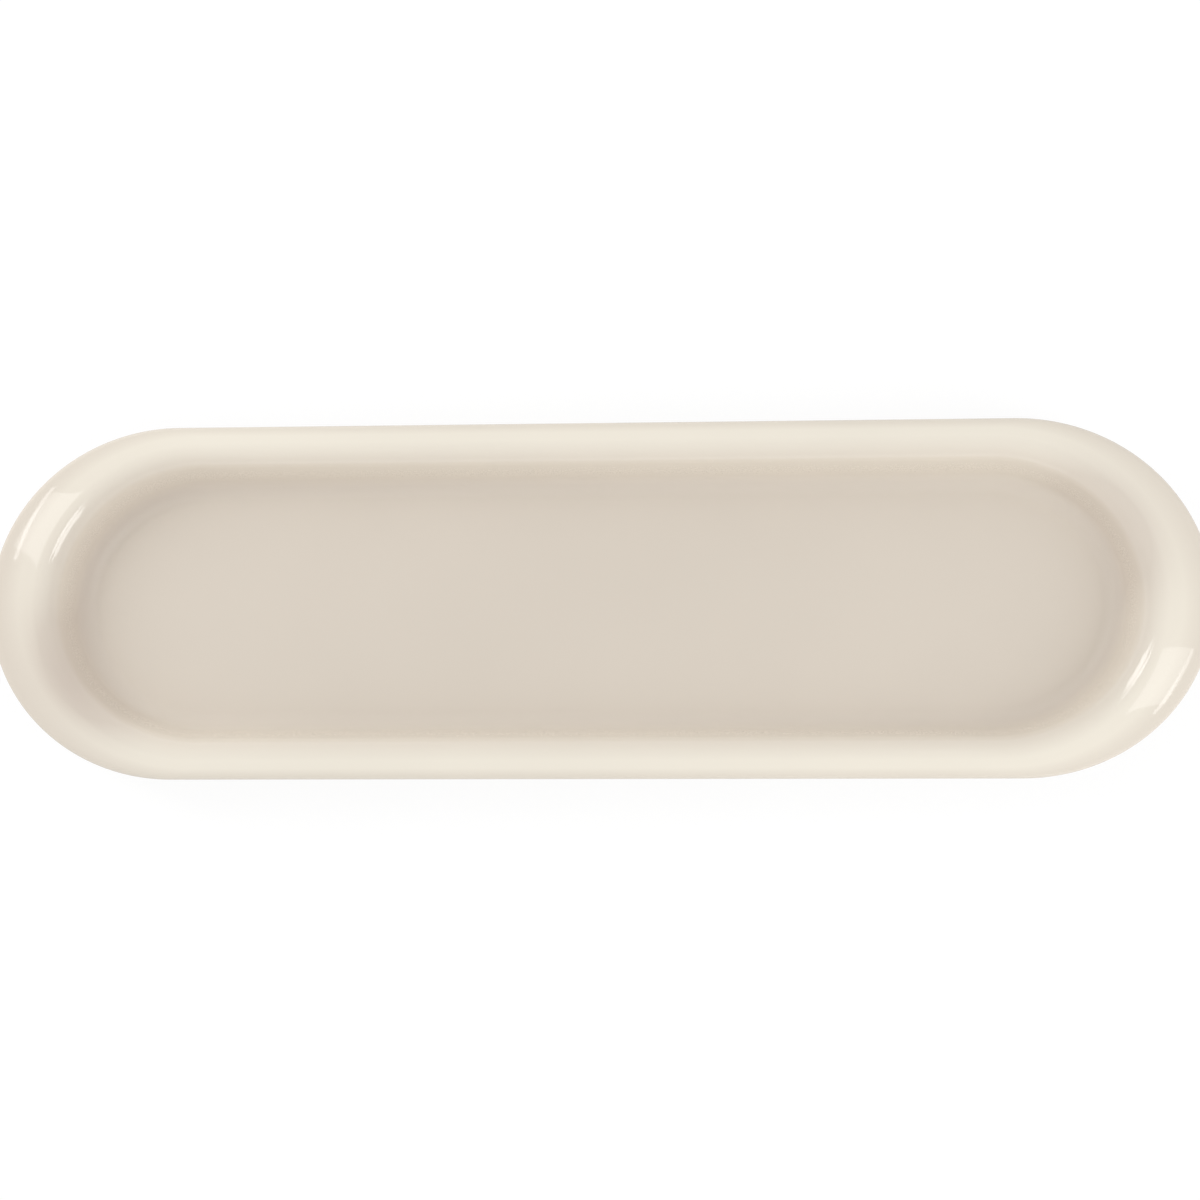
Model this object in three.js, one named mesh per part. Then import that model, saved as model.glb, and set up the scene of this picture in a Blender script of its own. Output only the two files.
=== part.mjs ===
// Long serving platter of cream-glazed porcelain with straight sides and round ends.
// Millimetres, +Z up. The origin is the middle of the foot, on the surface that the platter
// stands on. +X runs along the length.
import * as THREE from "three";

// Overall size of the finished platter, glaze included
const PLATTER_LENGTH = 400;
const PLATTER_WIDTH = 117;
const PLATTER_HEIGHT = 24;
const END_DEPTH = 62; // of each round end, from the straight sides to the tip

// The lip: a soft band that falls outward from its crest and is broader at the two ends
const LIP_WIDTH = 7.2; // from the outline to the crest, along the sides
const END_LIP_EXTRA = 8.4; // how much broader it is at the tips
const LIP_CROWN = 16; // radius across the top of the band
const LIP_FALL = 22; // degrees that the band falls before its outer edge turns down
const UNDER_EDGE = 2.2; // radius under the outer edge
const INNER_EDGE = 7; // radius where the lip turns into the well

// The well and the shell that forms it
const WALL_ANGLE = 70; // degrees, up from the floor
const FLOOR_FILLET = 7; // radius inside, between floor and wall
const SHELL_THICKNESS = 5; // floor and wall
const LIP_HOLLOW = 3; // radius outside, between wall and lip

// The foot ring under the floor
const FOOT_HEIGHT = 3;
const FOOT_WIDTH = 5;
const FOOT_FILLET = 1.2; // radius between foot and floor
const FOOT_EDGE = 0.6; // rounding of the two edges that meet the table

// The glaze, which stops short of the standing face
const GLAZE_THICKNESS = 0.3;
const GLAZE_LINE = 1; // height of its edge on both faces of the foot

// How finely the curves are cut
const END_STEPS = 24;
const FILLET_STEPS = 6;
const LIP_STEPS = 5;
const HOLLOW_STEPS = 3;
const FOOT_STEPS = 3;

// Directions in the section, in degrees
const INWARD = 0;
const UP = 90;
const OUTWARD = 180;
const DOWN = 270;

// The ends are half ellipses, a little deeper than half circles
const endStretch = END_DEPTH / (PLATTER_WIDTH / 2);

// The section is drawn in two measures: inset, counted inward from the outline, and height
const floorHeight = FOOT_HEIGHT + SHELL_THICKNESS;
const wall = THREE.MathUtils.degToRad(WALL_ANGLE);
const fall = THREE.MathUtils.degToRad(LIP_FALL);

// The outer edge takes up what the crown leaves of the lip's width
const outerEdge = (LIP_WIDTH - LIP_CROWN * Math.sin(fall)) / (1 - Math.sin(fall));
const edgeHeight = PLATTER_HEIGHT - LIP_CROWN + (LIP_CROWN - outerEdge) * Math.cos(fall);

// The wall is the straight line that touches both the inner edge and the floor fillet
const curveRadii = INNER_EDGE + FLOOR_FILLET;
const wallRise = PLATTER_HEIGHT - floorHeight - curveRadii * (1 - Math.cos(wall));
const wallRun = wallRise / Math.tan(wall);
const filletInset = LIP_WIDTH + curveRadii * Math.sin(wall) + wallRun;
const filletHeight = floorHeight + FLOOR_FILLET;

// The hollow under the lip touches both the lip's underside and the outside of the wall
const hollowHeight = edgeHeight - UNDER_EDGE - LIP_HOLLOW;
const hollowReach = FLOOR_FILLET + SHELL_THICKNESS + LIP_HOLLOW;
const hollowDrop = (hollowHeight - filletHeight) * Math.cos(wall);
const hollowInset = filletInset - (hollowReach + hollowDrop) / Math.sin(wall);

// The foot stands just inside the place where the underside turns flat
const footInset = filletInset + FOOT_FILLET;
const footInner = footInset + FOOT_WIDTH;
const footCurve = FOOT_HEIGHT - FOOT_FILLET;

// Points along an arc, from one direction to another. A falling direction runs clockwise.
function arc(x, y, radius, from, to, steps) {
  const start = THREE.MathUtils.degToRad(from);
  const end = THREE.MathUtils.degToRad(to);
  return new THREE.ArcCurve(x, y, radius, start, end, to < from).getPoints(steps);
}

// Well, lip and outside down to the glaze edge, at a depth under the finished glaze
function upperFace(depth) {
  const inside = FLOOR_FILLET + depth;
  const outside = FLOOR_FILLET + SHELL_THICKNESS - depth;
  const edge = outerEdge - depth;
  const slope = DOWN - WALL_ANGLE;
  const bend = UP - WALL_ANGLE;
  const turn = UP + LIP_FALL;
  const crownHeight = PLATTER_HEIGHT - LIP_CROWN;
  const innerHeight = PLATTER_HEIGHT - INNER_EDGE;
  return [
    ...arc(filletInset, filletHeight, inside, DOWN, slope, FILLET_STEPS),
    ...arc(LIP_WIDTH, innerHeight, INNER_EDGE - depth, bend, UP, LIP_STEPS),
    ...arc(LIP_WIDTH, crownHeight, LIP_CROWN - depth, UP, turn, LIP_STEPS).slice(1),
    ...arc(outerEdge, edgeHeight, edge, turn, OUTWARD, LIP_STEPS).slice(1),
    ...arc(UNDER_EDGE, edgeHeight, UNDER_EDGE - depth, OUTWARD, DOWN, LIP_STEPS).slice(1),
    ...arc(hollowInset, hollowHeight, LIP_HOLLOW + depth, UP, bend, HOLLOW_STEPS),
    ...arc(filletInset, filletHeight, outside, slope, DOWN, FILLET_STEPS),
    ...arc(filletInset, footCurve, FOOT_FILLET + depth, UP, INWARD, FOOT_STEPS).slice(1),
    new THREE.Vector2(footInset + depth, GLAZE_LINE),
  ];
}

// The bare part of the foot, between the two glaze edges
function bareFoot() {
  const outer = footInset + GLAZE_THICKNESS + FOOT_EDGE;
  const inner = footInner - GLAZE_THICKNESS - FOOT_EDGE;
  return [
    ...arc(outer, FOOT_EDGE, FOOT_EDGE, OUTWARD, DOWN, FOOT_STEPS),
    ...arc(inner, FOOT_EDGE, FOOT_EDGE, DOWN, DOWN + 90, FOOT_STEPS),
  ];
}

// Inside of the foot and the panel it frames, at a depth under the finished glaze
function baseFace(depth) {
  return [
    new THREE.Vector2(footInner - depth, GLAZE_LINE),
    ...arc(footInner + FOOT_FILLET, footCurve, FOOT_FILLET + depth, OUTWARD, UP, FOOT_STEPS),
  ];
}

// A section's points. Reach is the inset of the finished surface over each of them.
function section(points, finished) {
  return points.map((p, i) => ({ inset: p.x, height: p.y, reach: finished[i].x }));
}

// One loop of points round the platter. Within the lip, the ends draw in faster than the sides.
function loop({ inset, height, reach }) {
  const share = Math.min(reach / LIP_WIDTH, 1);
  const drawnIn = END_LIP_EXTRA * share * (2 - share);
  const centre = PLATTER_LENGTH / 2 - END_DEPTH - drawnIn;
  const halfWidth = PLATTER_WIDTH / 2 - inset;
  const depth = halfWidth * endStretch;
  const points = [];
  for (const [side, start] of [[1, -Math.PI / 2], [-1, Math.PI / 2]]) {
    const end = new THREE.EllipseCurve(side * centre, 0, depth, halfWidth, start, start + Math.PI);
    for (const p of end.getPoints(END_STEPS)) {
      points.push(new THREE.Vector3(p.x, p.y, height));
    }
  }
  return points;
}

// Carries section points round the outline and closes their first and last loops with flat faces
function carryRound(points) {
  const loops = points.map(loop);
  const count = loops[0].length;
  const index = [];
  for (let k = 0; k + 1 < loops.length; k += 1) {
    for (let i = 0; i < count; i += 1) {
      const a = k * count + i;
      const d = k * count + ((i + 1) % count);
      const b = a + count;
      const c = d + count;
      index.push(a, b, c, a, c, d);
    }
  }
  const rim = loops[0].map((p) => new THREE.Vector2(p.x, p.y));
  const last = (loops.length - 1) * count;
  for (const [i, j, k] of THREE.ShapeUtils.triangulateShape(rim, [])) {
    index.push(i, j, k, last + k, last + j, last + i);
  }
  const geometry = new THREE.BufferGeometry().setFromPoints(loops.flat());
  geometry.setIndex(index);
  geometry.computeVertexNormals();
  return geometry;
}

function piece(name, points, colour, roughness) {
  const material = new THREE.MeshStandardMaterial({ color: colour, roughness, metalness: 0 });
  const mesh = new THREE.Mesh(carryRound(points), material);
  mesh.name = name;
  return mesh;
}

const glazeTop = section(upperFace(0), upperFace(0));
const bodyTop = section(upperFace(GLAZE_THICKNESS), upperFace(0));
const foot = section(bareFoot(), bareFoot());
const bodyBase = section(baseFace(GLAZE_THICKNESS), baseFace(0));
const glazeBase = section(baseFace(0), baseFace(0));

const platter = new THREE.Group();
platter.name = "serving_platter";
platter.add(
  piece("porcelain_body", [...bodyTop, ...foot, ...bodyBase], "#e6dfd2", 0.7),
  piece("glaze_coat", [...glazeTop, ...bodyTop.toReversed()], "#e4dccf", 0.1),
  piece("base_glaze", [...bodyBase.toReversed(), ...glazeBase], "#e4dccf", 0.15),
);

export default platter;
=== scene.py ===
# Long serving platter of cream-glazed porcelain, on a white table, seen almost straight from above.
# Metres, +Z up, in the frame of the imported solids: the origin is the middle of the foot.
import math

import bpy
from mathutils import Matrix, Quaternion, Vector


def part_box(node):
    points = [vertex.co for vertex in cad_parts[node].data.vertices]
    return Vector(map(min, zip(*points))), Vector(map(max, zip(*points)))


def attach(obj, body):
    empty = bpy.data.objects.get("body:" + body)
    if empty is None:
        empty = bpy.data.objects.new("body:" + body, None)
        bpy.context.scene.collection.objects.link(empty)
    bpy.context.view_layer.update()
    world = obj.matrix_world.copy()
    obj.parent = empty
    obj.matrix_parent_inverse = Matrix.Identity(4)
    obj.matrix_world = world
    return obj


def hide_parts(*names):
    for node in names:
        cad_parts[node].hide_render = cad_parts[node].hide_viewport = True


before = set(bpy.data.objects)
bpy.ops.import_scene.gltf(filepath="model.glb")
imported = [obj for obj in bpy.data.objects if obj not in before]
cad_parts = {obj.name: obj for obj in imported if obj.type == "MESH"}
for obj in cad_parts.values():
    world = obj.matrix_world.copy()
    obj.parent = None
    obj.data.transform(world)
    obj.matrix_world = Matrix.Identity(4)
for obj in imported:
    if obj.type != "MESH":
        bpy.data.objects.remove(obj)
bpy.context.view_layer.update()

MM = 0.001

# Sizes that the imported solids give
glaze_low, glaze_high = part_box("glaze_coat")
_, body_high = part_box("porcelain_body")
_, panel_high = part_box("base_glaze")
LENGTH = glaze_high[0] - glaze_low[0]
WIDTH = glaze_high[1] - glaze_low[1]
HEIGHT = glaze_high[2]
GLAZE = HEIGHT - body_high[2]
GLAZE_LINE = glaze_low[2]
FOOT_HEIGHT = panel_high[2] - GLAZE
END_DEPTH = 62 * MM  # of each round end, from the straight sides to the tip

# The lip: a soft band that falls outward from its crest and is broader at the two ends
LIP_WIDTH = 7.2 * MM
END_LIP_EXTRA = 8.4 * MM
LIP_CROWN = 16 * MM
LIP_FALL = 22  # degrees
UNDER_EDGE = 2.2 * MM
INNER_EDGE = 7 * MM

# The well, the shell that forms it and the foot ring
WALL_ANGLE = 70  # degrees
FLOOR_FILLET = 7 * MM
SHELL = 5 * MM
LIP_HOLLOW = 3 * MM
FOOT_WIDTH = 5 * MM
FOOT_FILLET = 1.2 * MM
FOOT_EDGE = 0.6 * MM

# How dark the glaze is drawn, by inset in mm: 0 on the lip, 1 in the well. The darkening on the outer
# edge, where it turns down, is painted shade, and the rise over the inner edge and wall is partly the
# glaze's tone and partly painted shade
GLAZE_TONE_AND_SHADE = [
    (0, 0.6), (1, 0.55), (3.5, 0), (6, 0), (9.5, 0.4), (11.5, 0.65), (15, 0.55), (18.5, 1),
]
# How much darker each end is drawn: on the lip towards the tip; with painted shade at one corner,
# and there again on the lip and on the inner edge; and with a painted shadow in the corner of the well
RIGHT_MORE = {"tip": 0.16, "corner_shade": 0.9, "corner_shade_lip": 0, "corner_shade_edge": 0.1, "well_shadow": 0.28}
LEFT_MORE = {"tip": 0.36, "corner_shade": 0.95, "corner_shade_lip": 0.4, "corner_shade_edge": 0.3, "well_shadow": 0.55}
LIP_END, LIP_FADE = 15 * MM, 8 * MM  # the inset where the lip's share ends, and how far it fades
# Where the painted shade at one corner of each end lies
CORNER_SHADE_AT, CORNER_SHADE_SPREAD = 33, 44  # degrees round each end
CORNER_SHADE_FULL = 9 * MM  # the inset by which all of the corner's painted shade is there
EDGE_AT, EDGE_SPREAD = 10.5 * MM, 5.5 * MM  # its middle, and how far it counts to each side
# Where the painted shadow in the corner of the well lies
WELL_SHADOW_AT = -25  # degrees round each end
WELL_SHADOW_RISE, WELL_SHADOW_SPREAD = 5.5 * MM, 7 * MM  # how far outside the flat floor, and how far round that

# How finely the curves are cut, and where the flat faces get rings that keep their shading flat
END_STEPS = 96
ARC_STEPS = 24
SMALL_ARC_STEPS = 8
FLAT_RINGS = [24 * MM, 12 * MM, 4 * MM, 1 * MM]
SHARP_EDGE = 40  # degrees: an edge that turns more than this is shaded sharp

# Directions in the section, in degrees
INWARD, UP, OUTWARD, DOWN = 0, 90, 180, 270


def linear(hex_colour):
    """An sRGB hex colour as linear red, green, blue and full alpha."""
    shares = [int(hex_colour[i:i + 2], 16) / 255 for i in (1, 3, 5)]
    return [s / 12.92 if s <= 0.04045 else ((s + 0.055) / 1.055) ** 2.4 for s in shares] + [1]


def add_node(tree, kind, settings=None, **inputs):
    """Adds a node. An input is a value, or a (node, output name) pair that gets linked to it.

    Inputs whose names a node has more than once go by their places: i0, i1 and so on."""
    node = tree.nodes.new(kind)
    for name, value in (settings or {}).items():
        setattr(node, name, value)
    for name, value in inputs.items():
        place = int(name[1:]) if name[1:].isdigit() else name.replace("_", " ")
        socket = node.inputs[place]
        if isinstance(value, tuple):
            tree.links.new(value[0].outputs[value[1]], socket)
        else:
            socket.default_value = value
    return node


def new_material(name):
    """An empty node material and its tree."""
    material = bpy.data.materials.new(name)
    material.use_nodes = True
    material.node_tree.nodes.clear()
    return material, material.node_tree


# Section of the platter: each point is (inset from the outline, height)
floor_height = FOOT_HEIGHT + SHELL
wall = math.radians(WALL_ANGLE)
fall = math.radians(LIP_FALL)
outer_edge = (LIP_WIDTH - LIP_CROWN * math.sin(fall)) / (1 - math.sin(fall))
edge_height = HEIGHT - LIP_CROWN + (LIP_CROWN - outer_edge) * math.cos(fall)
curve_radii = INNER_EDGE + FLOOR_FILLET
wall_rise = HEIGHT - floor_height - curve_radii * (1 - math.cos(wall))
fillet_inset = LIP_WIDTH + curve_radii * math.sin(wall) + wall_rise / math.tan(wall)
fillet_height = floor_height + FLOOR_FILLET
hollow_height = edge_height - UNDER_EDGE - LIP_HOLLOW
hollow_reach = FLOOR_FILLET + SHELL + LIP_HOLLOW
hollow_drop = (hollow_height - fillet_height) * math.cos(wall)
hollow_inset = fillet_inset - (hollow_reach + hollow_drop) / math.sin(wall)
foot_inset = fillet_inset + FOOT_FILLET
foot_inner = foot_inset + FOOT_WIDTH
foot_curve = FOOT_HEIGHT - FOOT_FILLET


def arc(inset, height, radius, start, end, steps):
    """Points along an arc of the section, from one direction to another."""
    turns = [math.radians(start + (end - start) * k / steps) for k in range(steps + 1)]
    return [(inset + radius * math.cos(t), height + radius * math.sin(t)) for t in turns]


def flat(inset, height):
    """Points on a flat face, from well inside it out to its edge."""
    return [(inset + ring, height) for ring in FLAT_RINGS]


def upper_face(depth):
    """Well, lip and outside down to the glaze edge, at a depth under the finished glaze."""
    slope, bend, turn = DOWN - WALL_ANGLE, UP - WALL_ANGLE, UP + LIP_FALL
    outside = FLOOR_FILLET + SHELL - depth
    return [
        *flat(fillet_inset, floor_height - depth),
        *arc(fillet_inset, fillet_height, FLOOR_FILLET + depth, DOWN, slope, ARC_STEPS),
        *arc(LIP_WIDTH, HEIGHT - INNER_EDGE, INNER_EDGE - depth, bend, UP, ARC_STEPS),
        *arc(LIP_WIDTH, HEIGHT - LIP_CROWN, LIP_CROWN - depth, UP, turn, ARC_STEPS)[1:],
        *arc(outer_edge, edge_height, outer_edge - depth, turn, OUTWARD, ARC_STEPS)[1:],
        *arc(UNDER_EDGE, edge_height, UNDER_EDGE - depth, OUTWARD, DOWN, ARC_STEPS)[1:],
        *arc(hollow_inset, hollow_height, LIP_HOLLOW + depth, UP, bend, ARC_STEPS),
        *arc(fillet_inset, fillet_height, outside, slope, DOWN, ARC_STEPS),
        *arc(fillet_inset, foot_curve, FOOT_FILLET + depth, UP, INWARD, SMALL_ARC_STEPS)[1:],
    ]


def base_face(depth):
    """Inside of the foot and the panel that it frames, at a depth under the finished glaze."""
    corner = foot_inner + FOOT_FILLET
    panel = flat(corner, FOOT_HEIGHT + depth)
    return [
        *arc(corner, foot_curve, FOOT_FILLET + depth, OUTWARD, UP, SMALL_ARC_STEPS),
        *reversed(panel),
    ]


def loop(inset, height, reach):
    """One loop of points round the platter. Within the lip, the ends draw in faster than the sides."""
    share = min(reach / LIP_WIDTH, 1)
    centre = LENGTH / 2 - END_DEPTH - END_LIP_EXTRA * share * (2 - share)
    half_width = WIDTH / 2 - inset
    depth = half_width * END_DEPTH / (WIDTH / 2)
    turns = [math.pi * (k / END_STEPS - 0.5) for k in range(END_STEPS + 1)]
    right = [(centre + depth * math.cos(t), half_width * math.sin(t), height) for t in turns]
    return right + [(-x, -y, z) for x, y, z in right]


def eased(share):
    """Rises softly from 0 to 1 with a share, and stays level beyond."""
    share = min(max(share, 0), 1)
    return share * share * (3 - 2 * share)


def glaze_tone_and_shade(reach, turn, more):
    """How dark the glaze is drawn at an inset and a turn round an end, in degrees, with its painted
    shade and painted shadow.
    """
    depth = 1
    for (inset, low), (further, high) in zip(GLAZE_TONE_AND_SHADE, GLAZE_TONE_AND_SHADE[1:]):
        if reach / MM < further:
            depth = low + (high - low) * (reach / MM - inset) / (further - inset)
            break
    tip = math.cos(math.radians(turn))
    lip = min(max((LIP_END - reach) / LIP_FADE, 0), 1)
    # Painted shade at one corner of each end
    corner_shade = eased(1 - abs(turn - CORNER_SHADE_AT) / CORNER_SHADE_SPREAD) * eased(reach / CORNER_SHADE_FULL)
    edge = eased(1 - abs(reach - EDGE_AT) / EDGE_SPREAD)
    # A painted shadow in the corner of the well
    well_shadow = max(0, math.cos(math.radians(turn - WELL_SHADOW_AT)))
    well_shadow *= max(0, 1 - abs(reach - fillet_inset + WELL_SHADOW_RISE) / WELL_SHADOW_SPREAD)
    depth = min(depth + more["tip"] * tip * lip ** 2 + more["corner_shade"] * corner_shade, 1)
    depth += more["corner_shade_lip"] * corner_shade * lip + more["corner_shade_edge"] * corner_shade ** 2 * edge
    return depth + more["well_shadow"] * well_shadow


def carry_round(name, points, material, node):
    """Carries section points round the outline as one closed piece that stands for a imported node."""
    loops = [loop(*point) for point in points]
    count = len(loops[0])
    faces = []
    for k in range(len(loops) - 1):
        for i in range(count):
            j = (i + 1) % count
            faces.append((k * count + i, (k + 1) * count + i, (k + 1) * count + j, k * count + j))
    last = (len(loops) - 1) * count
    faces.append(list(range(count)))
    faces.append(list(range(last + count - 1, last - 1, -1)))
    mesh = bpy.data.meshes.new(name)
    mesh.from_pydata([corner for ring in loops for corner in ring], [], faces)
    turns = [180 * k / END_STEPS - 90 for k in range(END_STEPS + 1)]
    round_ends = [(turn, more) for more in (RIGHT_MORE, LEFT_MORE) for turn in turns]
    # Each point carries the glaze's tone, with the painted shade and painted shadow in it
    tone_and_shade_values = [glaze_tone_and_shade(reach, *spot) for _, _, reach in points for spot in round_ends]
    mesh.attributes.new("glaze_tone_and_shade", "FLOAT", "POINT").data.foreach_set("value", tone_and_shade_values)
    mesh.shade_smooth()
    mesh.set_sharp_from_angle(angle=math.radians(SHARP_EDGE))
    mesh.materials.append(material)
    piece = bpy.data.objects.new(name, mesh)
    bpy.context.scene.collection.objects.link(piece)
    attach(piece, "root")
    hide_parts(node)


def section(points, finished):
    """Section points, each with its reach: the inset of the finished surface over it."""
    return [(inset, height, over[0]) for (inset, height), over in zip(points, finished)]


def cream_glaze():
    """Clear glaze with a cream tint, fired glossy over porcelain.

    It gives a soft even colour, pale over the lip and deeper in the well, with painted shade on the
    outer edge, on the wall and at one corner of each end, and a painted shadow in the corner of the
    well.
    Its gloss is faintly waved, mirror-like on the lip and satin in the well, and the satin sets in
    along a finely ragged line."""
    drift_size, wave_size, grain_size = 60 * MM, 18 * MM, 0.4 * MM
    wave_height = 0.03 * MM
    # The grain lifts each height by half of this on average
    raggedness = 12 * MM
    satin_start, satin_full = 23.5 * MM, 20.5 * MM
    material, tree = new_material("cream_glaze")
    place = add_node(tree, "ShaderNodeTexCoord")
    depth = add_node(tree, "ShaderNodeAttribute", {"attribute_name": "glaze_tone_and_shade"})
    # The lip's colour and the well's, mixed by the attribute, which also paints shade and a shadow
    tone = add_node(
        tree, "ShaderNodeMix", {"data_type": "RGBA", "clamp_factor": False},
        Factor=(depth, "Fac"), i6=linear("#EFE8DA"), i7=linear("#DBD1C4"),
    )
    drift = add_node(
        tree, "ShaderNodeTexNoise", Vector=(place, "Object"), Scale=1 / drift_size, Detail=2,
    )
    shade = add_node(
        tree, "ShaderNodeMapRange", Value=(drift, "Fac"),
        From_Min=0.3, From_Max=0.7, To_Min=0.99, To_Max=1.01,
    )
    colour = add_node(
        tree, "ShaderNodeHueSaturation", Color=(tone, 2), Value=(shade, "Result"),
    )
    waves = add_node(
        tree, "ShaderNodeTexNoise", Vector=(place, "Object"), Scale=1 / wave_size, Detail=1,
    )
    bump = add_node(
        tree, "ShaderNodeBump", Height=(waves, "Fac"), Distance=wave_height, Strength=1,
    )
    gloss = add_node(
        tree, "ShaderNodeMapRange", Value=(waves, "Fac"),
        From_Min=0.3, From_Max=0.7, To_Min=0.02, To_Max=0.04,
    )
    axes = add_node(tree, "ShaderNodeSeparateXYZ", Vector=(place, "Object"))
    grain = add_node(
        tree, "ShaderNodeTexNoise", Vector=(place, "Object"), Scale=1 / grain_size, Detail=0,
    )
    ragged = add_node(
        tree, "ShaderNodeMath", {"operation": "MULTIPLY_ADD"},
        i0=(grain, "Fac"), i1=raggedness, i2=(axes, "Z"),
    )
    satin = add_node(
        tree, "ShaderNodeMapRange", Value=(ragged, 0),
        From_Min=satin_start, From_Max=satin_full, To_Min=0, To_Max=0.4,
    )
    sheen = add_node(
        tree, "ShaderNodeMath", {"operation": "ADD"}, i0=(gloss, "Result"), i1=(satin, "Result"),
    )
    surface = add_node(
        tree, "ShaderNodeBsdfPrincipled", Base_Color=(colour, "Color"), IOR=1.5,
        Roughness=(sheen, 0), Normal=(bump, "Normal"),
    )
    add_node(tree, "ShaderNodeOutputMaterial", Surface=(surface, "BSDF"))
    return material


def bare_porcelain():
    """Fired porcelain wiped clean of glaze and rubbed flat, as on a foot ring.

    It gives a matt, finely sandy white with greyer rubbed marks. The sand is drawn coarser than it
    is, so that it shows."""
    sand_size, mark_size = 0.8 * MM, 14 * MM
    sand_height = 0.05 * MM
    material, tree = new_material("bare_porcelain")
    place = add_node(tree, "ShaderNodeTexCoord")
    sand = add_node(
        tree, "ShaderNodeTexNoise", Vector=(place, "Object"), Scale=1 / sand_size, Detail=3,
    )
    marks = add_node(
        tree, "ShaderNodeTexNoise", Vector=(place, "Object"), Scale=1 / mark_size, Detail=4,
    )
    rubbed = add_node(
        tree, "ShaderNodeMapRange", Value=(marks, "Fac"),
        From_Min=0.45, From_Max=0.75, To_Min=0, To_Max=1,
    )
    tone = add_node(
        tree, "ShaderNodeMix", {"data_type": "RGBA"},
        Factor=(rubbed, "Result"), i6=linear("#EAE4D9"), i7=linear("#CFC7BA"),
    )
    bump = add_node(
        tree, "ShaderNodeBump", Height=(sand, "Fac"), Distance=sand_height, Strength=1,
    )
    surface = add_node(
        tree, "ShaderNodeBsdfPrincipled", Base_Color=(tone, 2), Roughness=0.65, IOR=1.5,
        Normal=(bump, "Normal"),
    )
    add_node(tree, "ShaderNodeOutputMaterial", Surface=(surface, "BSDF"))
    return material


glaze = cream_glaze()
porcelain = bare_porcelain()

finished_top = upper_face(0)
body_top = section(upper_face(GLAZE), finished_top)
finished_base = base_face(0)
body_base = section(base_face(GLAZE), finished_base)

# The bare part of the foot, between the two glaze edges
foot_outer_corner = foot_inset + GLAZE + FOOT_EDGE
foot_inner_corner = foot_inner - GLAZE - FOOT_EDGE
foot = [
    (foot_inset + GLAZE, GLAZE_LINE),
    *arc(foot_outer_corner, FOOT_EDGE, FOOT_EDGE, OUTWARD, DOWN, SMALL_ARC_STEPS),
    *arc(foot_inner_corner, FOOT_EDGE, FOOT_EDGE, DOWN, DOWN + 90, SMALL_ARC_STEPS),
    (foot_inner - GLAZE, GLAZE_LINE),
]

# The glaze ends on the foot in a rounded edge
edge_rise = GLAZE_LINE + GLAZE
outer_bead = arc(foot_inset + GLAZE, edge_rise, GLAZE, OUTWARD, DOWN, SMALL_ARC_STEPS)
inner_bead = arc(foot_inner - GLAZE, edge_rise, GLAZE, DOWN, DOWN + 90, SMALL_ARC_STEPS)

carry_round(
    "platter_body", body_top + section(foot, foot) + body_base,
    porcelain, "porcelain_body",
)
carry_round(
    "upper_glaze",
    section(finished_top, finished_top) + section(outer_bead, outer_bead) + body_top[::-1],
    glaze, "glaze_coat",
)
carry_round(
    "underside_glaze",
    body_base[::-1] + section(inner_bead, inner_bead) + section(finished_base, finished_base),
    glaze, "base_glaze",
)


def white_table():
    """A plain white table top, lifted to white where it is seen, with a trace of the shadow on it."""
    lift, lifted_white = 0.75, 1.17
    material, tree = new_material("white_table")
    paint = add_node(tree, "ShaderNodeBsdfDiffuse", Color=linear("#C8C8C8"))
    glow = add_node(tree, "ShaderNodeEmission", Color=linear("#FFFFFF"), Strength=lifted_white)
    lifted = add_node(
        tree, "ShaderNodeMixShader", Fac=lift, i1=(paint, "BSDF"), i2=(glow, "Emission"),
    )
    ray = add_node(tree, "ShaderNodeLightPath")
    seen = add_node(
        tree, "ShaderNodeMath", {"operation": "MAXIMUM"},
        i0=(ray, "Is Camera Ray"), i1=(ray, "Is Glossy Ray"),
    )
    shown = add_node(
        tree, "ShaderNodeMath", {"operation": "MAXIMUM"},
        i0=(seen, 0), i1=(ray, "Is Transmission Ray"),
    )
    both = add_node(
        tree, "ShaderNodeMixShader", Fac=(shown, 0), i1=(paint, "BSDF"), i2=(lifted, "Shader"),
    )
    add_node(tree, "ShaderNodeOutputMaterial", Surface=(both, "Shader"))
    return material


TABLE_SIZE = 6.0  # metres
half = TABLE_SIZE / 2
corners = [(-half, -half, 0), (half, -half, 0), (half, half, 0), (-half, half, 0)]
table_mesh = bpy.data.meshes.new("table")
table_mesh.from_pydata(corners, [], [(0, 1, 2, 3)])
table_mesh.materials.append(white_table())
table = bpy.data.objects.new("table", table_mesh)
bpy.context.scene.collection.objects.link(table)


def toward(azimuth, zenith):
    """The direction at an azimuth and an angle from straight up, both in degrees."""
    a, z = math.radians(azimuth), math.radians(zenith)
    return Vector((math.sin(z) * math.cos(a), math.sin(z) * math.sin(a), math.cos(z)))


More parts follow.
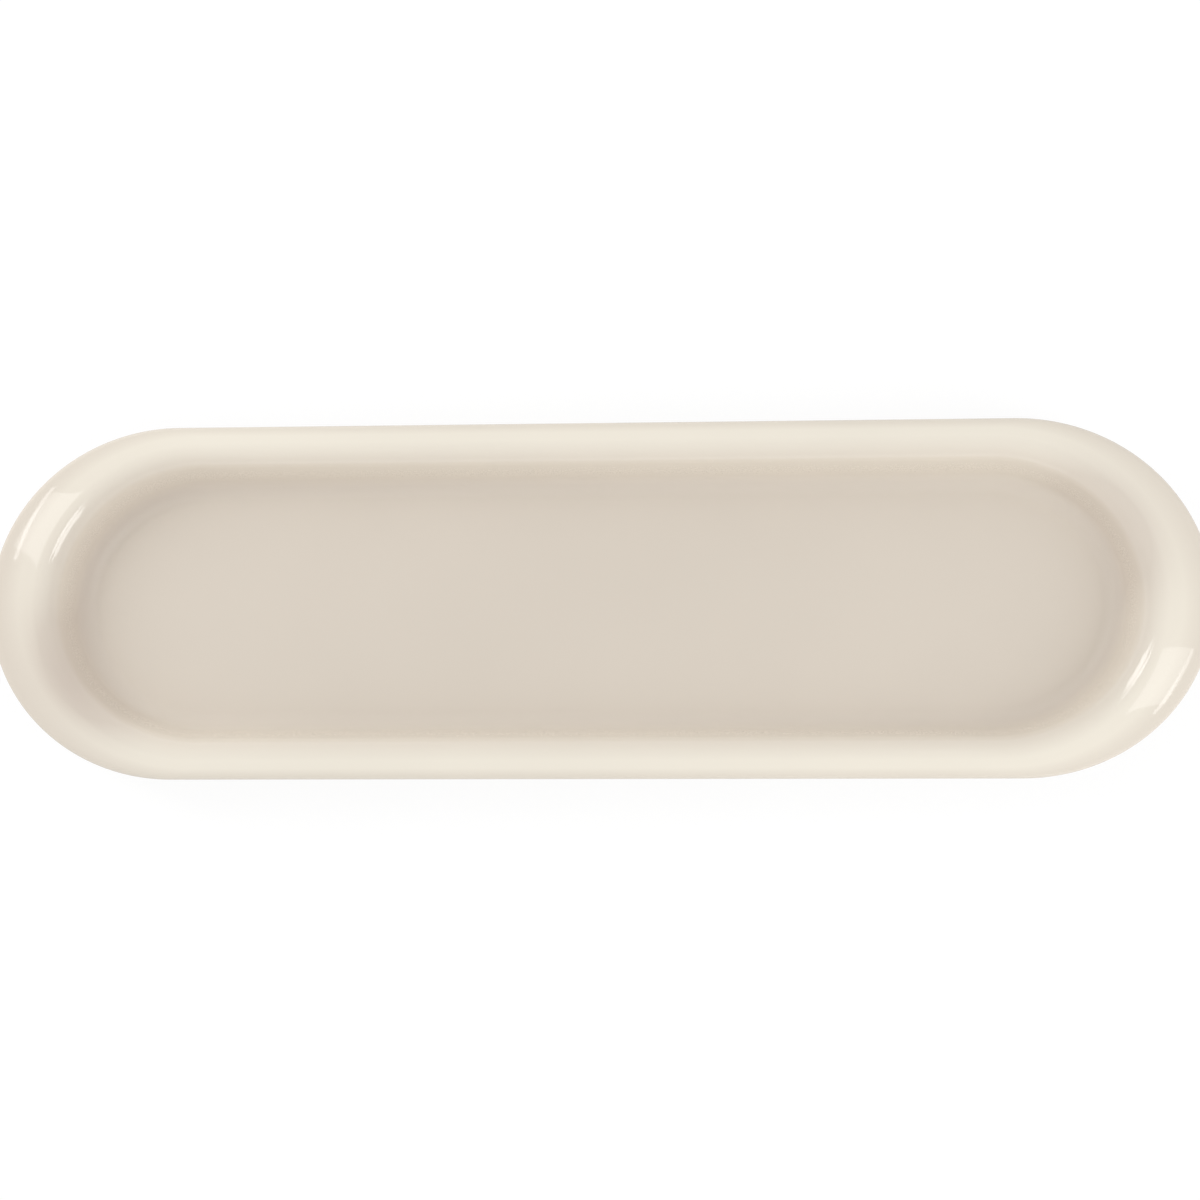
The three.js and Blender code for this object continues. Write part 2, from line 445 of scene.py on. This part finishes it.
def light_tent(overhead, skirt, gap, lean, azimuth):
    """White cloth all round, brighter towards the table, but less so both ways along one line.

    The gap counts both ways alike and the lean one way only."""
    steepness = 3  # the higher, the closer to the table the skirt sets in
    world = bpy.data.worlds.new("light_tent")
    world.use_nodes = True
    tree = world.node_tree
    tree.nodes.clear()
    place = add_node(tree, "ShaderNodeTexCoord")
    axes = add_node(tree, "ShaderNodeSeparateXYZ", Vector=(place, "Generated"))
    low = add_node(
        tree, "ShaderNodeMath", {"operation": "SUBTRACT", "use_clamp": True}, i0=1, i1=(axes, "Z"),
    )
    shaped = add_node(
        tree, "ShaderNodeMath", {"operation": "POWER"}, i0=(low, 0), i1=steepness,
    )
    along = add_node(
        tree, "ShaderNodeVectorMath", {"operation": "DOT_PRODUCT"},
        i0=(place, "Generated"), i1=toward(azimuth, 90),
    )
    bend = add_node(
        tree, "ShaderNodeMath", {"operation": "MULTIPLY_ADD"}, i0=(along, "Value"), i1=gap, i2=lean,
    )
    missing = add_node(
        tree, "ShaderNodeMath", {"operation": "MULTIPLY"}, i0=(along, "Value"), i1=(bend, 0),
    )
    cloth = add_node(
        tree, "ShaderNodeMath", {"operation": "SUBTRACT"}, i0=skirt, i1=(missing, 0),
    )
    level = add_node(
        tree, "ShaderNodeMath", {"operation": "MULTIPLY_ADD"},
        i0=(shaped, 0), i1=(cloth, 0), i2=overhead,
    )
    light = add_node(tree, "ShaderNodeBackground", Color=linear("#FFFFFF"), Strength=(level, 0))
    add_node(tree, "ShaderNodeOutputWorld", Surface=(light, "Background"))
    bpy.context.scene.world = world


SOFTBOX_SIZE = (0.28, 0.65)  # metres
SOFTBOX_DISTANCE = 0.75  # metres
SOFTBOX_ZENITH = 52  # degrees


def softbox(name, aim, azimuth, power):
    """A rectangular softbox near one end, hung so that the gloss of the glaze doesn't show it."""
    lamp = bpy.data.lights.new(name, "AREA")
    lamp.shape = "RECTANGLE"
    lamp.size, lamp.size_y = SOFTBOX_SIZE
    lamp.energy = power
    way = toward(azimuth, SOFTBOX_ZENITH)
    holder = bpy.data.objects.new(name, lamp)
    holder.location = Vector(aim) + way * SOFTBOX_DISTANCE
    holder.rotation_euler = way.to_track_quat("Z", "Y").to_euler()
    holder.visible_glossy = False
    bpy.context.scene.collection.objects.link(holder)


GLINT_HEIGHT = 286  # millimetres


def glint(name, spot, aim, size, roll, grid, radiance):
    """A small gridded lamp that only the gloss near its aim shows.

    Lengths are in millimetres, and the roll and the grid's half angle in degrees."""
    place = Vector((*spot, GLINT_HEIGHT))
    half = math.radians(grid)
    lamp = bpy.data.lights.new(name, "AREA")
    lamp.shape = "RECTANGLE"
    lamp.size, lamp.size_y = size[0] * MM, size[1] * MM
    lamp.spread = 2 * half
    lamp.energy = radiance * math.pi * lamp.size * lamp.size_y * (1 - half / math.tan(half))
    holder = bpy.data.objects.new(name, lamp)
    holder.location = place * MM
    spin = Quaternion((0, 0, 1), math.radians(roll))
    way = (place - Vector(aim)).to_track_quat("Z", "Y")
    holder.rotation_euler = (way @ spin).to_euler()
    holder.visible_camera = holder.visible_diffuse = False
    bpy.context.scene.collection.objects.link(holder)


light_tent(overhead=0.632, skirt=1.15, gap=0.6, lean=0.18, azimuth=20)
END_CENTRE = LENGTH / 2 - END_DEPTH
LEFT_END = (-END_CENTRE, 0, HEIGHT)
RIGHT_END = (END_CENTRE, 0, HEIGHT)
softbox("softbox_left", LEFT_END, azimuth=149, power=2.15)
softbox("softbox_right", RIGHT_END, azimuth=-31, power=2.0)

# Each end shows a panel on the slope of its lip, a bright line along the panel's lower edge, and a
# bright strip on its inner edge, which two lamps one under the other give. Places in millimetres.
LEFT_SLOPE, LEFT_INNER = (-182, 25, 24), (-174.5, 22.5, 24)
RIGHT_SLOPE, RIGHT_INNER = (182, -26, 24), (175, -24, 24)
glint("panel_left", (-325, 98), LEFT_SLOPE, size=(62, 72), roll=-3, grid=38, radiance=2)
glint("line_left", (-362, 116), LEFT_SLOPE, size=(84, 6), roll=13, grid=35, radiance=3.8)
glint("strip_left_high", (-124, -17), LEFT_INNER, size=(34, 56), roll=8, grid=22, radiance=6)
glint("strip_left_low", (-55, -58), LEFT_INNER, size=(70, 90), roll=3, grid=26, radiance=6)
glint("panel_right", (292, -38), RIGHT_SLOPE, size=(58, 52), roll=-6, grid=38, radiance=1.9)
glint("line_right", (318, -50), RIGHT_SLOPE, size=(72, 5), roll=-11, grid=35, radiance=3.5)
glint("strip_right_high", (143, 50), RIGHT_INNER, size=(9, 44), roll=33, grid=20, radiance=6.5)
glint("strip_right_low", (66, 101), RIGHT_INNER, size=(39, 120), roll=15, grid=20, radiance=6.8)

# The camera stands above the platter, a little towards its near side and its right end
LENS = 60  # millimetres
CAMERA_REACH = 655 * MM  # from what it aims at
LEAN_NEAR = math.radians(6.5)
LEAN_RIGHT = math.radians(3.35)
AIM = Vector((2.6 * MM, 0, HEIGHT - 5 * MM))
camera = bpy.data.cameras.new("camera")
camera.lens = LENS
camera.clip_start = 1 * MM
camera_holder = bpy.data.objects.new("camera", camera)
turn = Matrix.Rotation(LEAN_RIGHT, 3, "Y") @ Matrix.Rotation(LEAN_NEAR, 3, "X")
camera_holder.location = AIM + turn @ Vector((0, 0, CAMERA_REACH))
camera_holder.rotation_euler = turn.to_euler()
bpy.context.scene.collection.objects.link(camera_holder)
bpy.context.scene.camera = camera_holder

bpy.context.scene.view_settings.view_transform = "Standard"
